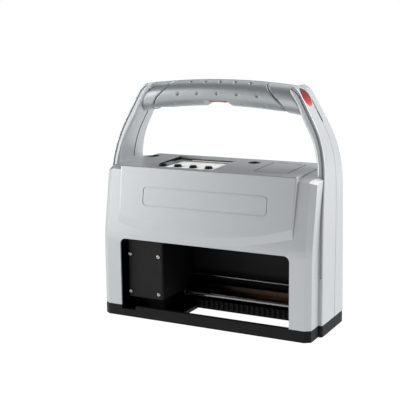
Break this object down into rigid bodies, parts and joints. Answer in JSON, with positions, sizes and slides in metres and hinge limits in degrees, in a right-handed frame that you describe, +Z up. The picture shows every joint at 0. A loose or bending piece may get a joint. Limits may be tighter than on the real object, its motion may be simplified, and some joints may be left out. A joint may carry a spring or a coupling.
{
  "type": "date code inkjet printer",
  "caption": "Handheld inkjet marking printer with an arch handle, open print window and a belt-driven ink carriage over a slotted base.",
  "frame": {"origin": "centre of the resting face of the base, at the middle of the length and depth", "axes": "+X along the length to the right seen from the front, +Y from the front to the back, +Z up"},
  "size_m": [0.245, 0.096, 0.2508],
  "materials": {
    "silver_shell": "satin silver paint on plastic",
    "grey_handle": "satin metallic grey plastic",
    "grey_grip": "soft grey overmould with dimples",
    "black_base": "fine textured black plastic",
    "black_inner": "matt black plastic",
    "black_plate": "fine powder coat",
    "black_metal": "matt black coating on sheet metal",
    "cartridge_shell": "matt black plastic",
    "red_lens": "translucent red, polished",
    "red_trigger": "glossy red plastic",
    "white_panel": "light grey film over plastic",
    "display_glass": "clear, polished",
    "black_rubber": "matt moulded rubber",
    "steel": "zinc-plated steel",
    "polished_steel": "ground and polished steel",
    "aluminium": "turned aluminium",
    "brass": "sintered bronze or gold-plated brass",
    "motor_can": "plated steel can",
    "circuit_board": "green solder mask",
    "amber_film": "polyimide film",
    "clear_film": "printed polyester film",
    "battery_wrap": "shrink wrap over cells"
  },
  "bodies": {
    "housing": {"front_housing": "silver_shell", "rear_housing": "silver_shell", "status_lens": "red_lens", "base_front": "black_base", "base_rear": "black_base", "handle_bar": "grey_handle", "grip_sleeve": "grey_grip", "trigger_spring": "steel", "trigger_switch": "black_inner", "status_board": "circuit_board", "display_bezel": "white_panel", "display_window": "display_glass", "display_module": "black_inner", "keypad_board": "circuit_board", "cover_hinge_pin": "steel", "battery_tray": "black_inner", "battery_pack": "battery_wrap", "battery_contacts": "brass", "deck_plugs": "black_rubber", "guide_shaft": "polished_steel", "guide_rod": "polished_steel", "chassis_plate_left": "black_metal", "chassis_plate_right": "black_metal", "motor_bracket": "black_metal", "drive_motor": "motor_can", "idler_bracket": "black_metal", "idler_pin": "polished_steel", "drive_belt": "black_rubber", "encoder_strip": "clear_film", "equipment_tray": "black_metal", "bay_ceiling": "black_inner", "rear_wall_panel": "black_metal", "flex_cable": "amber_film", "main_board": "circuit_board", "board_standoffs": "brass", "cap_station": "black_inner", "cap_pad": "black_rubber", "shell_screws": "steel", "base_screws": "steel"},
    "carriage": {"carriage_body": "black_inner", "carriage_front_plate": "black_plate", "carriage_screws": "steel", "shaft_bushings": "brass", "rod_slider": "black_inner", "print_cartridge": "cartridge_shell", "nozzle_plate": "steel", "contact_board": "circuit_board", "belt_clamp": "black_inner", "encoder_sensor": "black_inner"},
    "drive_wheel": {"motor_shaft": "polished_steel", "motor_pulley": "aluminium"},
    "idler_wheel": {"idler_pulley": "aluminium"},
    "trigger": {"trigger": "red_trigger"},
    "battery_door": {"battery_cover": "silver_shell"},
    "key_1": {"key_1": "black_rubber"},
    "key_2": {"key_2": "black_rubber"},
    "key_3": {"key_3": "black_rubber"},
    "key_4": {"key_4": "black_rubber"}
  },
  "joints": [
    {"name": "carriage_slide", "type": "slide", "parent": "housing", "child": "carriage", "axis": [1, 0, 0], "range_m": [0, 0.14]},
    {"name": "drive_wheel_spin", "type": "hinge", "parent": "housing", "child": "drive_wheel", "pos_m": [0.101, 0.0225, 0.108], "axis": [0, 1, 0], "continuous": true},
    {"name": "idler_wheel_spin", "type": "hinge", "parent": "housing", "child": "idler_wheel", "pos_m": [-0.101, 0.0225, 0.108], "axis": [0, 1, 0], "continuous": true},
    {"name": "trigger_press", "type": "slide", "parent": "housing", "child": "trigger", "axis": [0, 0, 1], "range_m": [0, 0.0025], "stiffness_N_per_m": 1200, "springref_m": -0.002, "deforming": ["trigger_spring"]},
    {"name": "battery_cover_hinge", "type": "hinge", "parent": "housing", "child": "battery_door", "pos_m": [0.0652, 0.0256, 0.162], "axis": [-1, 0, 0], "range_deg": [0, 100]},
    {"name": "key_1_press", "type": "slide", "parent": "housing", "child": "key_1", "axis": [0, 0, -1], "range_m": [0, 0.001], "stiffness_N_per_m": 600, "springref_m": -0.0006},
    {"name": "key_2_press", "type": "slide", "parent": "housing", "child": "key_2", "axis": [0, 0, -1], "range_m": [0, 0.001], "stiffness_N_per_m": 600, "springref_m": -0.0006},
    {"name": "key_3_press", "type": "slide", "parent": "housing", "child": "key_3", "axis": [0, 0, -1], "range_m": [0, 0.001], "stiffness_N_per_m": 600, "springref_m": -0.0006},
    {"name": "key_4_press", "type": "slide", "parent": "housing", "child": "key_4", "axis": [0, 0, -1], "range_m": [0, 0.001], "stiffness_N_per_m": 600, "springref_m": -0.0006}
  ],
  "couplings": [
    {"joint": "drive_wheel_spin", "follows": "carriage_slide", "rad_per_m": -200},
    {"joint": "idler_wheel_spin", "follows": "carriage_slide", "rad_per_m": -200}
  ]
}
